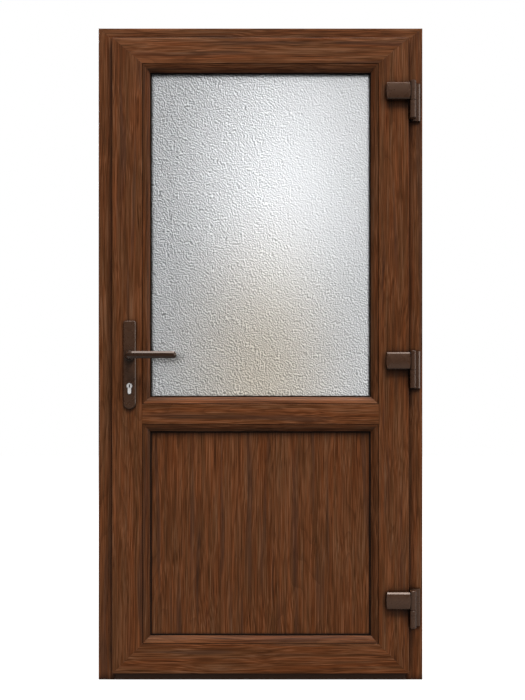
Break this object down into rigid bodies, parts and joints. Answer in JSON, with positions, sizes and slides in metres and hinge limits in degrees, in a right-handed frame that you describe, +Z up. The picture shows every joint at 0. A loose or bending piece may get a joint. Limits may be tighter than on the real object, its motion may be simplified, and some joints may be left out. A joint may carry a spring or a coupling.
{
  "type": "upvc door",
  "caption": "Wood-film upvc entrance door in its frame: obscured glass over a flat panel, lever handles, cylinder lock and flag hinges; the leaf swings and the levers turn.",
  "frame": {"origin": "middle of the threshold's base, on the floor, at half the depth of the frame", "axes": "+Z up, +X towards the hinge side, +Y towards the outside; the room side faces -Y"},
  "size_m": [1, 0.1926, 2.01],
  "materials": {
    "wood_film": "walnut-pattern film",
    "dark_hardware": "dark brown powder coat",
    "glass": "obscured, rolled relief",
    "gasket": "black rubber",
    "bright_steel": "zinc plated",
    "cylinder": "satin nickel",
    "spacer": "mill",
    "threshold": "dark brown anodised"
  },
  "bodies": {
    "frame": {"frame_head": "wood_film", "frame_jamb_lock_side": "wood_film", "frame_jamb_hinge_side": "wood_film", "threshold": "threshold", "frame_seal": "gasket", "strike_plate": "bright_steel", "frame_hinge_top": "dark_hardware", "frame_hinge_middle": "dark_hardware", "frame_hinge_bottom": "dark_hardware", "hinge_pin_top": "bright_steel", "hinge_pin_middle": "bright_steel", "hinge_pin_bottom": "bright_steel"},
    "leaf": {"leaf_lock_stile": "wood_film", "leaf_hinge_stile": "wood_film", "leaf_top_rail": "wood_film", "leaf_bottom_rail": "wood_film", "leaf_transom": "wood_film", "leaf_seal": "gasket", "glass_inner_pane": "glass", "glass_outer_pane": "glass", "glass_spacer": "spacer", "infill_panel": "wood_film", "glass_bead_left": "wood_film", "glass_bead_top": "wood_film", "glass_bead_right": "wood_film", "glass_bead_bottom": "wood_film", "panel_bead_left": "wood_film", "panel_bead_top": "wood_film", "panel_bead_right": "wood_film", "panel_bead_bottom": "wood_film", "glass_gasket_inner": "gasket", "glass_gasket_outer": "gasket", "panel_gasket_inner": "gasket", "panel_gasket_outer": "gasket", "lock_faceplate": "bright_steel", "lock_bolts": "bright_steel", "lock_cylinder": "cylinder", "inside_backplate": "dark_hardware", "outside_backplate": "dark_hardware", "leaf_hinge_top": "dark_hardware", "leaf_hinge_middle": "dark_hardware", "leaf_hinge_bottom": "dark_hardware"},
    "handle": {"inside_lever": "dark_hardware", "outside_lever": "dark_hardware", "handle_spindle": "bright_steel"}
  },
  "joints": [
    {"name": "leaf_swing", "type": "hinge", "parent": "frame", "child": "leaf", "pos_m": [0.465, -0.066, 0], "axis": [0, 0, 1], "range_deg": [0, 175]},
    {"name": "lever_turn", "type": "hinge", "parent": "leaf", "child": "handle", "pos_m": [-0.4, -0.02, 0.997], "axis": [0, 1, 0], "range_deg": [0, 40], "stiffness_Nm_per_rad": 1.2, "springref_deg": -34.38}
  ]
}
